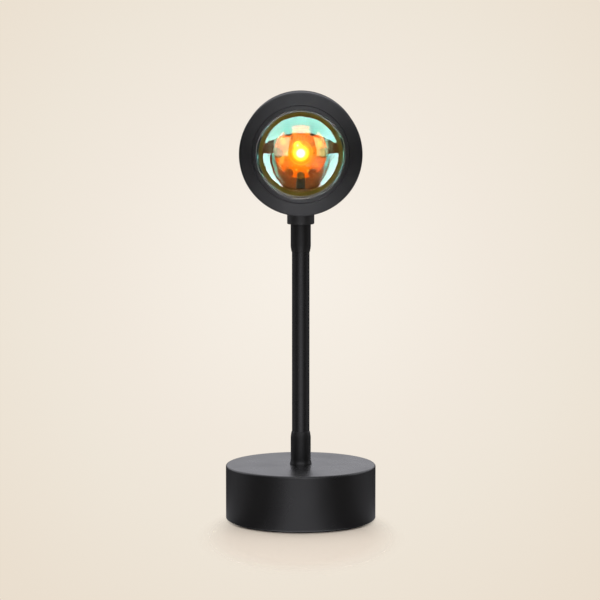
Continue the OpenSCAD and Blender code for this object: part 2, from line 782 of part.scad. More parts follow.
// Conical light tube, clamped between the heat sink's pedestal and the ledge.
// The colour filter sits on the seat half way along it.
module light_tube() {
    rear_r = tube_rear_d / 2;
    front_r = tube_front_d / 2;
    pocket_r = filter_r + loose;
    color(black) on_head_axis() rotate_extrude() polygon([
        [rear_r, led_seat],
        [rear_r + tube_wall, led_seat],
        [pocket_r + tube_wall, filter_back_h],
        [front_r + tube_wall, flange_back_h],
        [flange_r, flange_back_h],
        [flange_r, ledge_back_h],
        [front_r, ledge_back_h],
        [pocket_r, filter_front_h],
        [pocket_r, filter_back_h],
        [filter_r - filter_seat_w, filter_back_h]
    ]);
}

module colour_filter() {
    color([0.95, 0.45, 0.1, 0.6]) on_head_axis() translate([0, 0, filter_back_h])
        cylinder(r = filter_r, h = filter_t);
}

module lens_gasket() {
    color(dark_rubber) on_head_axis()
        tube(lens_r - 0.2, ledge_bore_r + 0.2, ledge_front_h, lens_back_h);
}

// Lens with two domed faces and a flat rim that the ring clamps
module lens() {
    color([0.75, 0.9, 0.9, 0.5]) on_head_axis() rotate_extrude() {
        translate([0, lens_back_h]) square([lens_r, lens_edge_t]);
        intersection() {
            translate([0, front_centre_h]) circle(r = lens_front_curve);
            translate([0, lip_h - 0.01]) square([dome_r, lens_front_curve]);
        }
        intersection() {
            translate([0, back_centre_h]) circle(r = lens_back_curve);
            translate([0, lens_back_h + 0.01 - lens_back_curve]) square([dome_r, lens_back_curve]);
        }
    }
}

module lens_ring() {
    bevel = 0.5;
    color(black) on_head_axis() rotate_extrude() polygon([
        [ring_r, ledge_front_h],
        [ring_r, ring_front_h - bevel / 2],
        [ring_r - bevel / 2, ring_front_h],
        [window_r + bevel, ring_front_h],
        [window_r, ring_front_h - bevel],
        [window_r, lip_h],
        [ring_bore_r, lip_h],
        [ring_bore_r, ledge_front_h]
    ]);
}

module rear_cover() {
    slot_in_r = 10;
    slot_out_r = 20;
    spigot_r = sink_bore_r - loose;
    screw_head_r = screw_d * 0.93;
    color(black) on_head_axis() difference() {
        union() {
            rotate_extrude() disc_outline(head_r, back_h, cover_face_h, cover_rim, 0.3);
            tube(spigot_r, spigot_r - 1.5, cover_face_h - 0.5, cover_face_h + cover_spigot_len);
        }
        for (a = cover_post_angles) rotate([0, 0, a]) translate([cover_screw_r, 0, back_h]) {
            translate([0, 0, -cut]) cylinder(r = screw_d / 2 + loose, h = cover_t + 2 * cut);
            translate([0, 0, -0.01])
                cylinder(r1 = screw_head_r + loose, r2 = screw_d / 2 + loose, h = screw_d * 0.45);
        }
        for (k = [0 : slot_count - 1]) rotate([0, 0, (k + 0.5) * 360 / slot_count])
            translate([0, 0, back_h - cut]) {
                translate([slot_in_r, -slot_w / 2, 0]) cube([slot_out_r - slot_in_r, slot_w, cover_t + 2 * cut]);
                translate([slot_in_r, 0, 0]) cylinder(d = slot_w, h = cover_t + 2 * cut);
                translate([slot_out_r, 0, 0]) cylinder(d = slot_w, h = cover_t + 2 * cut);
            }
    }
}

module cover_screw(k) {
    color(steel) on_head_axis() rotate([0, 0, cover_post_angles[k - 1]])
        translate([cover_screw_r, 0, back_h]) countersunk_screw(screw_d, cover_screw_len);
}

// ---- The lamp ------------------------------------------------------------

base_shell();
base_weight();
bottom_plate();
foot_pad();
cable_gland();
for (k = [1 : 3]) {
    base_screw(k);
}
driver_board();
for (k = [1 : 2]) {
    driver_screw(k);
}
base_lead();
lower_nipple();
base_washer();
base_nut();
lower_hose_end();
lower_sleeve();
for (k = [1 : link_count]) {
    link(k);
}
upper_hose_end();
upper_nipple();
upper_lead();
upper_sleeve();
swivel_washer();
swivel_nut();
head_collar();
head_barrel();
swivel_seat();
head_lead();
heat_sink();
led_board();
led_emitter();
for (k = [1 : 2]) {
    star_screw(k);
}
light_tube();
colour_filter();
lens_gasket();
lens();
lens_ring();
rear_cover();
for (k = [1 : 3]) {
    cover_screw(k);
}
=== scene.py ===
from math import asin, cos, pi, radians, sin, sqrt, tan

import bmesh
import bpy
from mathutils import Matrix, Vector


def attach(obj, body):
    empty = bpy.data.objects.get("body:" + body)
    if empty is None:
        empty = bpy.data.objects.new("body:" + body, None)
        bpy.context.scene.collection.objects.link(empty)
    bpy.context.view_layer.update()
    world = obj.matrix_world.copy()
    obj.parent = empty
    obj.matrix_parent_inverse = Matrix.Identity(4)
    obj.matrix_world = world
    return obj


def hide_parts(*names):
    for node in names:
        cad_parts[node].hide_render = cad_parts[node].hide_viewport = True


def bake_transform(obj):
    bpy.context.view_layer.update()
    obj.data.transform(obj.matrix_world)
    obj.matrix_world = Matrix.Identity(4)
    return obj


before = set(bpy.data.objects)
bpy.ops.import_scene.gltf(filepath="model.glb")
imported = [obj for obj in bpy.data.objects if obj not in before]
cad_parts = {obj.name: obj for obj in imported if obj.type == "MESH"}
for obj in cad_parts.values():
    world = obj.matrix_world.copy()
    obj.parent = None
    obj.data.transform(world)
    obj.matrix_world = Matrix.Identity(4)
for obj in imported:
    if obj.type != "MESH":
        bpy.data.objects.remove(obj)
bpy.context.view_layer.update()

# ---- Camera ------------------------------------------------------------------
# Stands 1.4 m in front of the lamp, a little above its head, and looks slightly
# down, so that the top of the base shows.

scene = bpy.context.scene
camera_data = bpy.data.cameras.new("camera")
camera_data.lens = 148.7
camera_data.sensor_width = 36.0
degrees_down = 5.94
camera = bpy.data.objects.new("camera", camera_data)
camera.location = (-0.00042, -1.4165, 0.2752)
camera.rotation_euler = (radians(90 - degrees_down), 0, 0)
scene.collection.objects.link(camera)
scene.camera = camera
scene.view_settings.view_transform = "Standard"

# ---- Room --------------------------------------------------------------------
# A studio with cream walls, lit evenly. Shiny pieces mirror its bright back
# wall, its dark front corners and its light from above.


def fill(tree, node, inputs):
    """Gives a node's inputs plain values, or links them to sockets."""
    for key, value in inputs.items():
        if isinstance(value, bpy.types.NodeSocket):
            tree.links.new(value, node.inputs[key])
        else:
            node.inputs[key].default_value = value


def wire(tree, node_type, inputs=None, **settings):
    """Adds a node with its inputs, as fill takes them, and its settings."""
    made = tree.nodes.new(node_type)
    for key, value in settings.items():
        setattr(made, key, value)
    fill(tree, made, inputs or {})
    return made


def maths(tree, operation, *terms):
    """The result of a sum with numbers. Each term is a number or a socket."""
    return wire(tree, "ShaderNodeMath", dict(enumerate(terms)), operation=operation).outputs[0]


def vector(tree, operation, *terms):
    """The result of a sum with vectors. Each term is a triple or a socket."""
    made = wire(tree, "ShaderNodeVectorMath", dict(enumerate(terms)), operation=operation)
    return made.outputs["Value" if operation in ("DOT_PRODUCT", "LENGTH") else "Vector"]


def times(tree, colour, level):
    """A colour, brighter or darker by a level."""
    return wire(tree, "ShaderNodeVectorMath", {0: colour, "Scale": level}, operation="SCALE").outputs[0]


def mixed(tree, share, first, second):
    """The first shader where share is 0, the second where it is 1."""
    return wire(tree, "ShaderNodeMixShader", {0: share, 1: first, 2: second}).outputs[0]


def along(tree, place, axis):
    """How far a place lies along an axis."""
    return wire(tree, "ShaderNodeSeparateXYZ", {0: place}).outputs[axis]


def scaled(tree, source, span, levels, change="SMOOTHSTEP"):
    """A value that goes from the first level to the second while its source goes through a span."""
    return wire(tree, "ShaderNodeMapRange", {
        "Value": source, "From Min": span[0], "From Max": span[1], "To Min": levels[0], "To Max": levels[1],
    }, interpolation_type=change).outputs[0]


def ramp(tree, source, stops, change="EASE"):
    """A colour that follows its source through stops of (position, colour)."""
    made = wire(tree, "ShaderNodeValToRGB", {"Fac": source})
    made.color_ramp.interpolation = change
    band = made.color_ramp.elements
    while len(band) < len(stops):
        band.new(0.5)
    for element, (position, colour) in zip(band, stops):
        element.position = position
        element.color = (*colour, 1)
    return made.outputs["Color"]


def grey(*levels):
    """Stops for a ramp in a faintly cool grey, from pairs of (position, level)."""
    return [(position, (level * 0.975, level * 0.97, level * 1.03)) for position, level in levels]


def towards_front(tree, direction):
    """0 where a direction goes straight back from the lamp, 1 where it goes straight to the front."""
    flat = vector(tree, "NORMALIZE", vector(tree, "MULTIPLY", direction, (1, 1, 0)))
    return maths(tree, "ADD", vector(tree, "DOT_PRODUCT", flat, (0, -0.5, 0)), 0.5)


def wall(colour, strength=1.0):
    """The room's walls in a colour."""
    return wire(walls, "ShaderNodeBackground", {"Color": colour, "Strength": strength}).outputs[0]


room = bpy.data.worlds.new("room")
scene.world = room
room.use_nodes = True
walls = room.node_tree
walls.nodes.clear()
direction = wire(walls, "ShaderNodeTexCoord").outputs["Generated"]
height = along(walls, direction, "Z")
turn = towards_front(walls, direction)

# Painted light: as the camera sees them, the walls are brightest round a point straight behind the lamp and
# darker away from it.
glow_middle = (0, 0.99610, -0.08820)
glow_spread = radians(13)
from_glow = maths(walls, "ARCCOSINE", vector(walls, "DOT_PRODUCT", direction, glow_middle))
seen_colour = ramp(walls, maths(walls, "DIVIDE", from_glow, glow_spread), [
    (0.0, (0.935, 0.876, 0.796)),
    (0.19, (0.905, 0.841, 0.756)),
    (0.34, (0.879, 0.808, 0.718)),
    (0.50, (0.855, 0.786, 0.685)),
    (0.75, (0.826, 0.738, 0.625)),
    (1.0, (0.807, 0.713, 0.604)),
], "LINEAR")

mirrored_walls = ramp(walls, turn, grey(
    (0.0, 0.92), (0.35, 0.92), (0.58, 0.15), (0.84, 0.13), (0.95, 1.0), (1.0, 1.0)))
light_above = scaled(walls, height, span=(0.10, 0.38), levels=(0.08, 1.6))
above_table = scaled(walls, height, span=(0.08, 0.15), levels=(0.03, 1.0))
below_ceiling = scaled(walls, height, span=(0.24, 0.45), levels=(1.0, 0.20))
behind = scaled(walls, turn, span=(0.45, 0.55), levels=(1.0, 0.0))
back_wall = maths(walls, "MULTIPLY", maths(walls, "MULTIPLY", above_table, below_ceiling), behind)
mirrored_colour = times(walls, mirrored_walls, maths(walls, "MAXIMUM", light_above, back_wall))

ray = wire(walls, "ShaderNodeLightPath").outputs
through_glass = maths(walls, "MULTIPLY", ray["Is Transmission Ray"], behind)
is_seen = maths(walls, "MAXIMUM", ray["Is Camera Ray"], through_glass)
is_mirrored = maths(walls, "MAXIMUM", ray["Is Glossy Ray"], ray["Is Transmission Ray"])
lit_or_mirrored = mixed(walls, is_mirrored, wall((1.0, 0.985, 0.965, 1), 0.62), wall(mirrored_colour))
wire(walls, "ShaderNodeOutputWorld", {"Surface": mixed(walls, is_seen, lit_or_mirrored, wall(seen_colour))})

# ---- Table -------------------------------------------------------------------
# A cream table top. It fades into the wall behind it just beside and behind
# the lamp, so that only its shadow in front sets it off.

table_mesh = bmesh.new()
bmesh.ops.create_circle(table_mesh, cap_ends=True, radius=6.0, segments=96)
table_data = bpy.data.meshes.new("table")
table_mesh.to_mesh(table_data)
table_mesh.free()
table = bpy.data.objects.new("table", table_data)
scene.collection.objects.link(table)


def place_on(tree):
    """Where a point of a piece lies, in metres from the middle of the lamp's foot."""
    return wire(tree, "ShaderNodeTexCoord").outputs["Object"]


table_paint = bpy.data.materials.new("table_paint")
table_paint.use_nodes = True
tree = table_paint.node_tree
tree.nodes.clear()
place = place_on(tree)
shadow_squeeze, shadow_shift = (1.8, 1.0, 1.0), (0, 0.05, 0)
from_shadow = vector(tree, "LENGTH", vector(tree, "MULTIPLY_ADD", place, shadow_squeeze, shadow_shift))
ray = wire(tree, "ShaderNodeLightPath").outputs
past_shadow = scaled(tree, from_shadow, span=(0.062, 0.108), levels=(0.0, 1.0))
faded = maths(tree, "MULTIPLY", past_shadow, ray["Is Camera Ray"])
paint = wire(tree, "ShaderNodeBsdfDiffuse", {"Color": (0.895, 0.80, 0.70, 1)}).outputs[0]
nothing = wire(tree, "ShaderNodeBsdfTransparent").outputs[0]
mirrored_table = ramp(tree, towards_front(tree, place), grey(
    (0.0, 0.03), (0.17, 0.09), (0.36, 0.25), (0.56, 0.26), (0.70, 0.10), (0.86, 0.10),
    (0.95, 0.42), (0.985, 0.92), (1.0, 1.05)), "LINEAR")
far_off = scaled(tree, vector(tree, "LENGTH", place), span=(1.9, 3.2), levels=(1.0, 0.2))
mirrored = wire(tree, "ShaderNodeEmission", {"Color": times(tree, mirrored_table, far_off), "Strength": 1.0})
lit_or_clear = mixed(tree, faded, paint, nothing)
wire(tree, "ShaderNodeOutputMaterial", {
    "Surface": mixed(tree, ray["Is Glossy Ray"], lit_or_clear, mirrored.outputs[0])})
table_data.materials.append(table_paint)

# ---- Lamps -------------------------------------------------------------------
# One broad soft box overhead, a little behind the lamp, and a weak one beside
# the camera. Neither shows in any view.


def soft_box(name, centre, aim, width, height, watts, colour=(1, 1, 1), shiny=False):
    """A flat lamp whose face points at aim. Pieces mirror it only if it is shiny."""
    lamp_data = bpy.data.lights.new(name, "AREA")
    lamp_data.shape = "RECTANGLE"
    lamp_data.size, lamp_data.size_y = width, height
    lamp_data.energy = watts
    lamp_data.color = colour
    lamp = bpy.data.objects.new(name, lamp_data)
    lamp.location = centre
    lamp.rotation_euler = (Vector(aim) - Vector(centre)).to_track_quat("-Z", "Y").to_euler()
    lamp.visible_camera = False
    lamp.visible_glossy = shiny
    scene.collection.objects.link(lamp)
    return lamp


soft_box("overhead_box", centre=(0, 0.15, 1.5), aim=(0, 0, 0), width=1.6, height=1.2, watts=9.0,
         colour=(1.0, 0.985, 0.965))
soft_box("camera_box", centre=(-0.25, -1.6, 0.9), aim=(0, 0, 0.12), width=0.5, height=0.5, watts=2.0)

# ---- Base shell --------------------------------------------------------------
# A drawn steel cup, 86 mm across, with a rounded top edge. It is powder
# coated in fine satin black. Its screw posts hold the bottom plate.


def noise(tree, scale, detail):
    """A noise over a piece. scale is how many lumps it has in a metre."""
    return wire(tree, "ShaderNodeTexNoise", {
        "Vector": place_on(tree), "Scale": scale, "Detail": detail}).outputs["Fac"]


def new_material(name):
    """A material, its tree of nodes and its shader."""
    material = bpy.data.materials.new(name)
    material.use_nodes = True
    return material, material.node_tree, material.node_tree.nodes["Principled BSDF"]


def coated(name, colour, roughness, grain, depth, metal=0.0, level=0.5):
    """A finish of one colour with a fine grain. grain is its width and depth its height, in metres."""
    material, tree, shader = new_material(name)
    uneven_tone, uneven_gloss = 0.12, 0.05
    pores = noise(tree, scale=1 / grain, detail=3.0)
    gloss = scaled(tree, noise(tree, scale=45.0, detail=2.0), span=(0.3, 0.7),
                   levels=(roughness - uneven_gloss, roughness + uneven_gloss), change="LINEAR")
    bump = wire(tree, "ShaderNodeBump", {"Height": pores, "Distance": depth, "Strength": 1.0})
    fill(tree, shader, {
        "Base Color": ramp(tree, pores, [
            (0.3, [part * (1 - uneven_tone) for part in colour]),
            (0.7, [part * (1 + uneven_tone) for part in colour]),
        ]),
        "Roughness": gloss,
        "Normal": bump.outputs[0],
        "Metallic": metal,
        "Specular IOR Level": level,
    })
    return material


def dress(finish, *names):
    """Puts a finish on CAD pieces."""
    for name in names:
        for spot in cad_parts[name].material_slots:
            spot.material = finish


powder_coat = coated("powder_coat", (0.0078, 0.0078, 0.0086), roughness=0.30, grain=0.00035, depth=0.000006)
dress(powder_coat, "base_shell")

# ---- Weight ------------------------------------------------------------------
# A cast iron disc in the base that keeps the lamp upright, grey and coarse
# from the sand that it was cast in.

cast_iron = coated("cast_iron", (0.09, 0.088, 0.086), roughness=0.7, grain=0.0012, depth=0.00012, metal=0.6)
dress(cast_iron, "base_weight")

# ---- Bottom plate and its screws ---------------------------------------------
# A disc of zinc-plated sheet steel. Three countersunk screws hold it to the
# shell's posts, and two more of their finish hold the driver board.

zinc_plate = coated("zinc_plate", (0.48, 0.49, 0.5), roughness=0.36, grain=0.0022, depth=0.00001, metal=1.0)
zinc_screw = coated("zinc_screw", (0.55, 0.56, 0.57), roughness=0.28, grain=0.0006, depth=0.000004, metal=1.0)
dress(zinc_plate, "bottom_plate")
dress(zinc_screw, "base_screw_1", "base_screw_2", "base_screw_3", "driver_screw_1", "driver_screw_2")

# ---- Foot ring ---------------------------------------------------------------
# A ring of black foam rubber, stuck under the bottom plate. The lamp stands
# on it.

foam_rubber = coated("foam_rubber", (0.018, 0.018, 0.019), roughness=0.9,
                     grain=0.0005, depth=0.00012, level=0.25)
dress(foam_rubber, "foot_pad")

# ---- Cable gland -------------------------------------------------------------
# A bush of moulded black rubber, pressed into the hole in the back of the
# shell.

moulded_rubber = coated("moulded_rubber", (0.016, 0.016, 0.017), roughness=0.55,
                        grain=0.0004, depth=0.00001, level=0.4)
dress(moulded_rubber, "cable_gland")

# ---- Driver and lead ---------------------------------------------------------
# A small green board with the parts that feed the LED, and the black lead from
# it to the LED board, which runs up the bore of the neck.

solder_mask = coated("solder_mask", (0.02, 0.12, 0.05), roughness=0.35, grain=0.0014, depth=0.00002)
lead_jacket = coated("lead_jacket", (0.02, 0.02, 0.021), roughness=0.5, grain=0.0004, depth=0.000008)
dress(solder_mask, "driver_board")
dress(lead_jacket, "base_lead", "upper_lead", "head_lead")

# ---- Neck fittings -----------------------------------------------------------
# Turned steel nipples at both ends of the neck, with the nuts and washers that
# hold them. All are hidden in the base, the sleeves and the head.

turned_steel = coated("turned_steel", (0.5, 0.5, 0.51), roughness=0.32,
                      grain=0.0005, depth=0.000004, metal=1.0)
dress(turned_steel, "lower_nipple", "base_washer", "base_nut", "upper_nipple", "swivel_washer", "swivel_nut")

# ---- Sleeves -----------------------------------------------------------------
# Shrunk black tube over each end of the hose. Each end towards the hose
# tapers, and the lower one spreads a little where it meets the base.

sleeve_bore_r = 0.0051
sleeve_tip_r = 0.0053
sleeve_r = 0.0058
sleeve_foot_r = 0.00635
base_top_h = 0.0325
lower_tip_h = 0.0517
upper_tip_h = 0.1557
upper_sleeve_top_h = 0.1716


def piece(name, work, sharp=32):
    """Makes an object of a work piece, smooth but for edges over sharp degrees."""
    data = bpy.data.meshes.new(name)
    work.to_mesh(data)
    work.free()
    data.polygons.foreach_set("use_smooth", [True] * len(data.polygons))
    data.set_sharp_from_angle(angle=radians(sharp))
    made = bpy.data.objects.new(name, data)
    scene.collection.objects.link(made)
    return made


def turned(name, outline, steps=160):
    """A closed half section of (radius, height, rim radius), turned round the axis, with rounded rims."""
    work = bmesh.new()
    corners = [work.verts.new((radius, 0, height)) for radius, height, rim in outline]
    sides = [work.edges.new(pair) for pair in zip(corners, corners[1:] + corners[:1])]
    bmesh.ops.spin(work, geom=corners + sides, cent=(0, 0, 0), axis=(0, 0, 1), dvec=(0, 0, 0),
                   angle=2 * pi, steps=steps, use_merge=True, use_duplicate=False)
    bmesh.ops.remove_doubles(work, verts=work.verts, dist=1e-7)
    bmesh.ops.recalc_face_normals(work, faces=work.faces)
    near = 1e-6
    for radius, height, rim in outline:
        if rim:
            circle = [edge for edge in work.edges if all(
                abs(end.co.z - height) < near and abs(end.co.xy.length - radius) < near
                for end in edge.verts)]
            bmesh.ops.bevel(work, geom=circle, offset=rim, offset_type="OFFSET", affect="EDGES",
                            segments=6, profile=0.5, material=-1)
    return piece(name, work)


def fitted(made, finish, body, slot, *stands_for):
    """Gives a piece its finish and its body, and hides the CAD pieces that it stands for. slot is not used.
    """
    made.data.materials.append(finish)
    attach(made, body)
    if stands_for:
        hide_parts(*stands_for)


shrunk_tube = coated("shrunk_tube", (0.0080, 0.0080, 0.0083), roughness=0.38,
                     grain=0.0004, depth=0.000006, level=0.45)

lower_sleeve = turned("shrunk_sleeve_low", [
    (sleeve_bore_r, base_top_h, 0),
    (sleeve_foot_r, base_top_h, 0),
    (0.00624, 0.03322, 0.0003),
    (sleeve_r, 0.0349, 0.0008),
    (sleeve_r, 0.0488, 0.0009),
    (sleeve_tip_r, lower_tip_h, 0.0001),
    (sleeve_bore_r, lower_tip_h, 0),
])
fitted(lower_sleeve, shrunk_tube, "base", "rubber", "lower_sleeve")

upper_sleeve = turned("shrunk_sleeve_high", [
    (sleeve_bore_r, upper_sleeve_top_h, 0),
    (sleeve_r, upper_sleeve_top_h, 0),
    (sleeve_r, 0.1586, 0.0009),
    (sleeve_tip_r, upper_tip_h, 0.0001),
    (sleeve_bore_r, upper_tip_h, 0),
])
fitted(upper_sleeve, shrunk_tube, "neck_top", "rubber", "upper_sleeve")

# ---- Hose --------------------------------------------------------------------
# A bendable steel core in a smooth skin of black plastic. Each stretch of the
# skin covers one pivot. The one over the fourth is two stiff halves, of
# which the lower ends in a ball that keeps the skin closed.

hose_skin = coated("hose_skin", (0.0080, 0.0080, 0.0090), roughness=0.27,
                   grain=0.0003, depth=0.000004, level=0.65)
hose_r = 0.00505
hose_sides = 96
pitch = 0.0065
first_pivot = 0.05495
pivots = 16
stiff_pivot = 4
skin_bore_r = 0.00145
skin_low_end = 0.042
skin_high_end = 0.1622


def hose_stretch(pivot, middle):
    """The skin over a pivot, closed at both ends, in rows of faces."""
    low = skin_low_end if pivot == 1 else middle - pitch / 2
    rows = [middle + (step - 5) * pitch / 10 for step in range(11)]
    if pivot == pivots:
        rows.append(skin_high_end)
    work = bmesh.new()
    bmesh.ops.create_circle(work, cap_ends=True, radius=hose_r, segments=hose_sides)
    bmesh.ops.translate(work, verts=work.verts, vec=(0, 0, low))
    rim = work.edges[:]
    for row in rows:
        if row - low < 1e-6:
            continue
        grown = bmesh.ops.extrude_edge_only(work, edges=rim)["geom"]
        corners = [part for part in grown if isinstance(part, bmesh.types.BMVert)]
        rim = [part for part in grown if isinstance(part, bmesh.types.BMEdge)
               and all(end in corners for end in part.verts)]
        for corner in corners:
            corner.co.z = row
    bmesh.ops.edgenet_fill(work, edges=rim)
    bmesh.ops.recalc_face_normals(work, faces=work.faces)
    return piece(f"hose_skin_{pivot:02d}", work, sharp=60)


def stiff_halves(pivot, middle):
    """The skin over a pivot in a lower half that ends in a ball and an upper half that slides over it."""
    low, high = middle - pitch / 2, middle + pitch / 2
    turns = [radians(8 * step) for step in range(1, 9)]
    ball = [(hose_r * cos(turn), middle + hose_r * sin(turn), 0) for turn in turns]
    ball_top = middle + sqrt(hose_r**2 - skin_bore_r**2)
    lower = turned(f"hose_skin_{pivot:02d}_low", [
        (skin_bore_r, low, 0), (hose_r, low, 0), (hose_r, middle, 0), *ball, (skin_bore_r, ball_top, 0),
    ], steps=hose_sides)
    upper = turned(f"hose_skin_{pivot:02d}_high", [
        (skin_bore_r, middle, 0), (hose_r, middle, 0), (hose_r, high, 0), (skin_bore_r, high, 0),
    ], steps=hose_sides)
    fitted(lower, hose_skin, f"neck_{pivot - 1:02d}", "black_hose", f"link_{pivot - 1:02d}")
    fitted(upper, hose_skin, f"neck_{pivot:02d}", "black_hose")


for pivot in range(1, pivots + 1):
    middle = first_pivot + (pivot - 1) * pitch
    if pivot == stiff_pivot:
        stiff_halves(pivot, middle)
        continue
    skin = hose_stretch(pivot, middle)
    skin.data.materials.append(hose_skin)
    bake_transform(skin)
    covered = ["lower_hose_end"] if pivot == 1 else [f"link_{pivot - 1:02d}"]
    if pivot == pivots:
        covered.append("upper_hose_end")
    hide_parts(*covered)

# ---- Collar ------------------------------------------------------------------
# A short turned ring of black anodised aluminium, shaped to sit against the
# round head. The head turns on the stem inside it.

anodised = coated("anodised", (0.0105, 0.0105, 0.0107), roughness=0.46,
                  grain=0.0003, depth=0.000004, level=0.95)
dress(anodised, "head_collar")

# ---- Barrel ------------------------------------------------------------------
# The head's body, turned from aluminium bar and anodised satin black. The
# tool has left fine rings on its broad front face.

head_z = 0.2127


def off_axis(tree, x=0.0, z=0.0):
    """How far a point lies from the head's axis, or from a line x and z beside it, in metres."""
    across = vector(tree, "MULTIPLY_ADD", place_on(tree), (1, 0, 1), (-x, 0, -head_z - z))
    return vector(tree, "LENGTH", across)


def turned_on_axis(name, colour, roughness, stretch):
    """The anodised finish over rings round the head's axis. stretch is how far they draw out highlights."""
    material = coated(name, colour, roughness, grain=0.0003, depth=0.000001, level=0.9)
    tree = material.node_tree
    shader = tree.nodes["Principled BSDF"]
    ring_depth = 0.000004
    rings = wire(tree, "ShaderNodeTexNoise", {
        "W": off_axis(tree), "Scale": 3200.0, "Detail": 3.0, "Roughness": 0.7}, noise_dimensions="1D")
    grooves = wire(tree, "ShaderNodeBump", {
        "Height": rings.outputs["Fac"], "Normal": shader.inputs["Normal"].links[0].from_socket,
        "Distance": ring_depth, "Strength": 1.0})
    fill(tree, shader, {
        "Normal": grooves.outputs[0],
        "Tangent": wire(tree, "ShaderNodeTangent", direction_type="RADIAL", axis="Y").outputs[0],
        "Anisotropic": stretch,
        "Anisotropic Rotation": 0.25,
    })
    return material


turned_black = turned_on_axis("turned_black", (0.0038, 0.0038, 0.0039), roughness=0.50, stretch=0.95)
dress(turned_black, "head_barrel")

# ---- Swivel seat -------------------------------------------------------------
# A block of bare turned aluminium in the bottom of the barrel, on which the
# stem's nut pulls.

bare_metal = coated("bare_metal", (0.62, 0.63, 0.64), roughness=0.34, grain=0.0006, depth=0.00001, metal=1.0)
dress(bare_metal, "swivel_seat")

# ---- LED board ---------------------------------------------------------------
# A star of aluminium board under white solder mask, screwed to the heat sink,
# with tinned pads and copper tracks. The LED's light on it is painted light: a
# glow, yellow beside the LED and orange at its points.

board_face_h = 0.0131
pad_rise = 0.00012


def lit(name, colour, stops, strength, reach, patch, contrast, dim=None):
    """Painted light: a finish that glows in the colours of stops, (metres, colour), along a reach, and in
    blotches.
    """
    material = coated(name, colour, roughness=0.5, grain=0.0005, depth=0.000004, level=0.0)
    tree = material.node_tree
    farthest = stops[-1][0]
    light = ramp(tree, maths(tree, "DIVIDE", reach(tree), farthest),
                 [(distance / farthest, tint) for distance, tint in stops], "LINEAR")
    level = scaled(tree, noise(tree, scale=1 / patch, detail=3.0), span=(0.3, 0.7),
                   levels=(1 - contrast, 1 + contrast), change="LINEAR")
    if dim:
        level = maths(tree, "MULTIPLY", level, dim(tree))
    fill(tree, tree.nodes["Principled BSDF"], {
        "Emission Color": times(tree, light, level), "Emission Strength": strength})
    return material


def beside_led(tree):
    """Distance from the LED or, if nearer but less bright, from the spot of painted reflection that the lens
    throws back.
    """
    spot_x, spot_z, spot_loss, blur = -0.0012, 0.0029, 0.0016, 0.0012
    thrown_back = maths(tree, "ADD", off_axis(tree, spot_x, spot_z), spot_loss)
    return maths(tree, "SMOOTH_MIN", off_axis(tree), thrown_back, blur)


def raise_block(work, x, z, width, height, degrees):
    """Adds a flat block to the board's face, with its place and size in millimetres."""
    block = bmesh.ops.create_cube(work, size=1.0)["verts"]
    bmesh.ops.scale(work, verts=block, vec=(width / 1000, pad_rise, height / 1000))
    bmesh.ops.rotate(work, verts=block, cent=(0, 0, 0), matrix=Matrix.Rotation(radians(degrees), 3, "Y"))
    bmesh.ops.translate(work, verts=block, vec=(x / 1000, -board_face_h - pad_rise / 2, head_z + z / 1000))


# Painted light: the board glows yellow beside the LED and orange towards its points.
lit_board = lit("lit_board", (0.05, 0.045, 0.035), [
    (0.0, (1.0, 0.66, 0.03)),
    (0.0045, (1.0, 0.52, 0.012)),
    (0.0060, (0.93, 0.34, 0.002)),
    (0.0075, (0.84, 0.24, 0.0)),
    (0.0100, (0.76, 0.19, 0.0)),
], strength=1.0, reach=beside_led, patch=0.0016, contrast=0.16)
dress(lit_board, "led_board")

# Painted light: the star screws glow orange with the LED's light, fading away from the middle.
lit_screw = lit("lit_screw", (0.02, 0.018, 0.015), [
    (0.0, (0.30, 0.14, 0.05)),
    (0.0075, (0.26, 0.12, 0.04)),
    (0.0092, (0.10, 0.05, 0.02)),
    (0.0110, (0.05, 0.03, 0.01)),
], strength=1.0, reach=off_axis, patch=0.0007, contrast=0.5)
dress(lit_screw, "star_screw_1", "star_screw_2")

pads = bmesh.new()
for pad in [  # x, z, width and height in millimetres, and degrees
    (-6.5, 4.3, 1.9, 2.9, -12),
    (-4.9, -0.4, 1.2, 1.7, -25),
    (-6.9, -2.6, 1.5, 3.0, 12),
    (6.9, 3.3, 1.5, 1.9, 10),
    (2.6, 7.3, 1.9, 1.1, 0),
    (-2.4, 7.2, 1.6, 1.0, 8),
    (5.9, -4.6, 0.9, 1.2, 30),
    (2.6, -6.6, 0.7, 0.9, 0),
    (-1.6, -6.3, 0.8, 0.7, 0),
]:
    raise_block(pads, *pad)
upright_edges = [edge for edge in pads.edges if abs(edge.verts[0].co.y - edge.verts[1].co.y) > pad_rise / 2]
bmesh.ops.bevel(pads, geom=upright_edges, offset=0.0003, offset_type="OFFSET", affect="EDGES",
                segments=4, profile=0.5, material=-1)
# Painted light: the pads glow pale yellow near the LED and orange farther out.
lit_tin = lit("lit_tin", (0.07, 0.065, 0.05), [
    (0.0, (1.0, 1.0, 0.35)),
    (0.0060, (1.0, 0.98, 0.30)),
    (0.0090, (1.0, 0.75, 0.14)),
    (0.0120, (1.0, 0.55, 0.09)),
], strength=1.0, reach=beside_led, patch=0.0005, contrast=0.2)
fitted(piece("board_pads", pads), lit_tin, "head", "led_board")

tracks = bmesh.new()
for track in [  # x, z, width and height in millimetres, and degrees
    (4.1, 3.5, 1.7, 0.35, -25),
    (4.4, 2.7, 1.7, 0.35, -25),
    (4.6, -0.2, 1.4, 0.40, -15),
    (6.3, -1.6, 0.4, 1.2, 0),
    (-3.2, 5.4, 0.4, 1.2, 0),
]:
    raise_block(tracks, *track)
# Painted light: the copper tracks glow faintly red-orange.
lit_copper = lit("lit_copper", (0.03, 0.015, 0.01), [
    (0.0, (0.55, 0.13, 0.03)),
    (0.0120, (0.40, 0.08, 0.02)),
], strength=1.0, reach=off_axis, patch=0.0005, contrast=0.2)
fitted(piece("board_tracks", tracks), lit_copper, "head", "led_board")
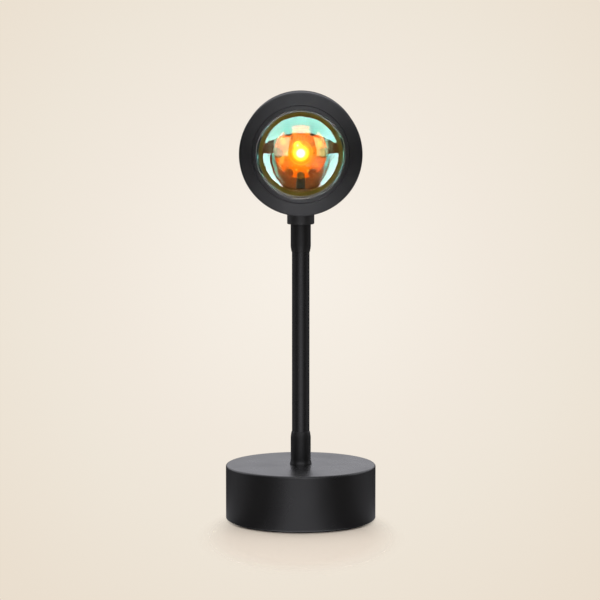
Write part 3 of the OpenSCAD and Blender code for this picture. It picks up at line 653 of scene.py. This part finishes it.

# ---- LED ---------------------------------------------------------------------
# A yellow phosphor disc under a clear silicone dome, soldered to the middle of
# the board. Its light is white in the middle. Round the dome, the glow on its
# body is painted light from it.

lit_led = lit("lit_led", (0.06, 0.05, 0.02), [
    (0.0, (1.0, 1.0, 1.0)),
    (0.0013, (1.0, 1.0, 0.9)),
    (0.0020, (0.5, 0.60, 0.09)),
    (0.0031, (0.18, 0.19, 0.012)),
    (0.0036, (0.14, 0.10, 0.006)),
    (0.0042, (0.14, 0.075, 0.004)),
    (0.0043, (0.18, 0.13, 0.012)),
    (0.0045, (0.18, 0.13, 0.012)),
], strength=7.0, reach=beside_led, patch=0.0006, contrast=0.06)
dress(lit_led, "led_emitter")

# ---- Light tube --------------------------------------------------------------
# A cone of black plastic, clamped between the heat sink and the barrel. Painted
# light from the LED glows on its lower half, with painted shade over its upper
# half. Its flange shows through the lens's rim, with painted light on it too.

flange_r = 0.0206
shade_depth = 0.006
upper_light = 0.15


def cone_shade(tree):
    """Painted light: full low in the cone and on the flange, but painted shade in the upper half of the cone.
    """
    height = along(tree, place_on(tree), "Z")
    in_cone = scaled(tree, height, span=(head_z - shade_depth, head_z), levels=(1.0, upper_light),
                     change="LINEAR")
    on_flange = maths(tree, "GREATER_THAN", off_axis(tree), flange_r)
    return maths(tree, "MAXIMUM", in_cone, on_flange)


# Painted light: the cone glows dim orange near the LED, olive towards its mouth, and yellow-brown on its
# flange.
tube_painted_glow = lit("light_tube_painted_glow", (0.0015, 0.0013, 0.001), [
    (0.0, (0.04, 0.02, 0.004)),
    (0.0120, (0.04, 0.02, 0.004)),
    (0.0160, (0.09, 0.085, 0.02)),
    (0.0204, (0.09, 0.095, 0.02)),
    (0.0207, (0.080, 0.062, 0.008)),
    (0.0320, (0.070, 0.056, 0.008)),
], strength=1.0, reach=off_axis, patch=0.004, contrast=0.25, dim=cone_shade)
dress(tube_painted_glow, "light_tube")

# ---- Heat sink ---------------------------------------------------------------
# Turned from aluminium bar and anodised black, with fins at its back. The
# face of its pedestal round the board glows with painted light from the LED,
# with painted shade over its upper half.

pedestal_face_h = 0.0115


def pedestal_shade(tree):
    """Painted light only on the pedestal's face, and there full only in its lower half, with painted shade
    above.
    """
    front_y = 0.0002 - pedestal_face_h
    on_face = maths(tree, "LESS_THAN", along(tree, place_on(tree), "Y"), front_y)
    return maths(tree, "MULTIPLY", on_face, cone_shade(tree))


anodised_sink_painted_glow = lit("anodised_sink_painted_glow", (0.0085, 0.0085, 0.009), [
    (0.0, (0.22, 0.075, 0.02)),
    (0.0092, (0.22, 0.075, 0.02)),
    (0.0112, (0.12, 0.05, 0.012)),
    (0.0135, (0.05, 0.03, 0.01)),
], strength=1.0, reach=off_axis, patch=0.0015, contrast=0.4, dim=pedestal_shade)
dress(anodised_sink_painted_glow, "heat_sink")

# ---- Colour filter -----------------------------------------------------------
# A disc of orange glass, let into the light tube half way along. It is coated
# so that it mirrors next to nothing.


def smooth_glass(name, scale, detail, tints):
    """Glass in faint streaks of two tints, with its tree of nodes and its shader."""
    material, tree, shader = new_material(name)
    fill(tree, shader, {
        "Base Color": ramp(tree, noise(tree, scale, detail), [(0.3, tints[0]), (0.7, tints[1])]),
        "Roughness": 0.0,
        "Transmission Weight": 1.0,
        "IOR": 1.5,
    })
    return material, tree, shader


orange_glass, tree, shader = smooth_glass("orange_glass", scale=90.0, detail=2.0,
                                          tints=[(1.0, 0.52, 0.19), (1.0, 0.58, 0.25)])
shader.inputs["Specular Tint"].default_value = (0.01, 0.007, 0.004, 1)
dress(orange_glass, "colour_filter")

# ---- Lens seal ---------------------------------------------------------------
# A ring behind the lens's rim that keeps it from rattling, of the same black
# rubber as the gland.

dress(moulded_rubber, "lens_gasket")

# ---- Lens --------------------------------------------------------------------
# A thick glass lens, domed on both faces, with a flat rim that the ring
# holds and a fine bead moulded round it. Its front is coated to mirror pale
# green, with painted shade on its reflection low in the middle; its back mirrors
# amber only in a painted patch of reflection above the middle.

lens_back_h = 0.0273
lens_rim_h = 0.0295
lens_edge_r = 0.0264
dome_foot_r = 0.0215
dome_ball_r = 0.034
back_ball_r = 0.080
bead_outline = [(0.02385, 0), (0.02395, 0.00006), (0.02410, 0.00009), (0.02425, 0.00006), (0.02435, 0)]


def dome_curve(work, face_h, ball_r, middle_h, turn):
    """Draws half the outline of a dome from its foot to the axis, and gives the foot back."""
    foot = work.verts.new((dome_foot_r, 0, face_h))
    bmesh.ops.spin(work, geom=[foot], cent=(0, 0, middle_h), axis=(0, 1, 0), dvec=(0, 0, 0),
                   angle=turn * asin(dome_foot_r / ball_r), steps=48, use_merge=False, use_duplicate=False)
    return foot


work = bmesh.new()
front_middle_h = lens_rim_h - sqrt(dome_ball_r**2 - dome_foot_r**2)
front_foot = dome_curve(work, lens_rim_h, dome_ball_r, front_middle_h, turn=-1)
bead = [work.verts.new((radius, 0, lens_rim_h + rise)) for radius, rise in bead_outline]
rim_front = work.verts.new((lens_edge_r, 0, lens_rim_h))
rim_back = work.verts.new((lens_edge_r, 0, lens_back_h))
back_middle_h = lens_back_h + sqrt(back_ball_r**2 - dome_foot_r**2)
back_foot = dome_curve(work, lens_back_h, back_ball_r, back_middle_h, turn=1)
corners = [front_foot, *bead, rim_front, rim_back, back_foot]
for pair in zip(corners, corners[1:]):
    work.edges.new(pair)
bmesh.ops.spin(work, geom=work.verts[:] + work.edges[:], cent=(0, 0, 0), axis=(0, 0, 1), dvec=(0, 0, 0),
               angle=2 * pi, steps=192, use_merge=True, use_duplicate=False)
bmesh.ops.remove_doubles(work, verts=work.verts, dist=1e-6)
bmesh.ops.recalc_face_normals(work, faces=work.faces)
back_faces = [face for face in work.faces if face.calc_center_median().z < lens_back_h + 1e-5]
for face in back_faces:
    face.material_index = 1
bmesh.ops.rotate(work, verts=work.verts, cent=(0, 0, 0), matrix=Matrix.Rotation(pi / 2, 3, "X"))
bmesh.ops.translate(work, verts=work.verts, vec=(0, 0, head_z))
lens = piece("front_lens", work, sharp=20)


def beside_and_below(tree):
    """How far a point of the lens lies to either side of its middle, and how far below it."""
    place = place_on(tree)
    beside = maths(tree, "ABSOLUTE", along(tree, place, "X"))
    return beside, maths(tree, "SUBTRACT", head_z, along(tree, place, "Z"))


def front_tint_painted_shade(tree):
    """Pale green, but with painted shade on the reflection low in the middle."""
    beside, below = beside_and_below(tree)
    slant = 0.2
    outside = maths(tree, "MULTIPLY_ADD", below, slant, beside)
    reflection_share = maths(tree, "MAXIMUM",
                 scaled(tree, outside, span=(0.0143, 0.0150), levels=(0.0, 1.0)),
                 scaled(tree, below, span=(-0.0040, -0.0030), levels=(1.0, 0.0)))
    return ramp(tree, reflection_share, [(0.0, (0.01, 0.012, 0.01)), (1.0, (0.13, 0.40, 0.33))], "LINEAR")


def back_tint_painted_patch(tree):
    """Painted reflection: amber in a broad patch above the middle, and next to nothing round it."""
    beside, below = beside_and_below(tree)
    high = maths(tree, "MULTIPLY",
                 scaled(tree, below, span=(-0.0105, -0.0095), levels=(0.0, 1.0)),
                 scaled(tree, below, span=(0.003, 0.007), levels=(1.0, 0.0)))
    reflection_share = maths(tree, "MULTIPLY", high, scaled(tree, beside, span=(0.0138, 0.0143), levels=(1.0, 0.0)))
    return ramp(tree, reflection_share, [(0.0, (0.03, 0.035, 0.015)), (1.0, (1.0, 0.86, 0.62))], "LINEAR")


def lens_glass(name, coating):
    """Clear glass under a coating, which gives the colour that a place of the lens throws back, with painted
    reflection and painted shade by place.
    """
    material, tree, shader = smooth_glass(name, scale=140.0, detail=3.0,
                                          tints=[(1.0, 0.92, 0.83), (1.0, 0.94, 0.87)])
    fill(tree, shader, {"Specular Tint": coating(tree)})
    return material


fitted(lens, lens_glass("glass_front_painted_shade", front_tint_painted_shade), "head", "lens_glass", "lens")
lens.data.materials.append(lens_glass("glass_back_painted_reflection", back_tint_painted_patch))

lens_only = bpy.data.collections.new("lens_only")
lens_only.objects.link(lens)
lens_middle = Vector((0, -0.035, head_z))
box_distance = 0.11


def lens_box(name, centre, aim, width, height, brightness, colour=(1, 1, 1)):
    """A soft box that only the lens mirrors. brightness is that of its face."""
    box = soft_box(name, centre, aim, width, height, brightness * pi * width * height, colour, shiny=True)
    box.light_linking.receiver_collection = lens_only


def side_box(name, inner, outer, drop, brightness, colour):
    """A tall soft box from the lens's middle down, between two angles from straight ahead of the lens."""
    middle, half = radians((inner + outer) / 2), radians(abs(outer - inner) / 2)
    aim = lens_middle + Vector((0, 0, -drop / 2))
    centre = aim + box_distance * Vector((sin(middle), -cos(middle), 0))
    lens_box(name, centre, aim, 2 * box_distance * tan(half), drop, brightness, colour)


lens_box("lens_box_over", centre=(0, -0.40, head_z + 0.6), aim=(0, -0.40, 0),
         width=4.4, height=0.66, brightness=46.0)
lens_box("lens_box_over_right", centre=(1.05, -0.34, head_z + 0.7), aim=(0.3, -0.34, 0),
         width=1.2, height=0.5, brightness=8.0, colour=(0.4, 0.5, 1.0))
for name, inner, outer, drop, brightness, colour in [
    ("lens_box_left", -67, -87, 0.19, 70.0, (0.90, 0.72, 0.78)),
    ("lens_box_right", 63, 88, 0.19, 68.0, (0.90, 0.72, 0.78)),
    ("lens_box_left_teal", -53, -63, 0.16, 20.0, (0.5, 1.0, 0.85)),
    ("lens_box_right_teal", 52, 61, 0.16, 30.0, (0.5, 1.0, 1.0)),
    ("lens_box_left_amber", -27, -52, 0.077, 70.0, (0.78, 0.92, 0.5)),
    ("lens_box_right_amber", 21, 52, 0.077, 70.0, (0.78, 0.88, 0.92)),
]:
    side_box(name, inner, outer, drop, brightness, colour)

# ---- Lens ring ---------------------------------------------------------------
# A thin turned ring of aluminium, black like the barrel, screwed in over the
# lens's rim.

dress(turned_black, "lens_ring")

# ---- Rear cover --------------------------------------------------------------
# A turned aluminium disc with eight air slots, anodised black. Three zinc-plated
# screws hold it to the heat sink's posts.

dress(anodised, "rear_cover")
dress(zinc_screw, "cover_screw_1", "cover_screw_2", "cover_screw_3")
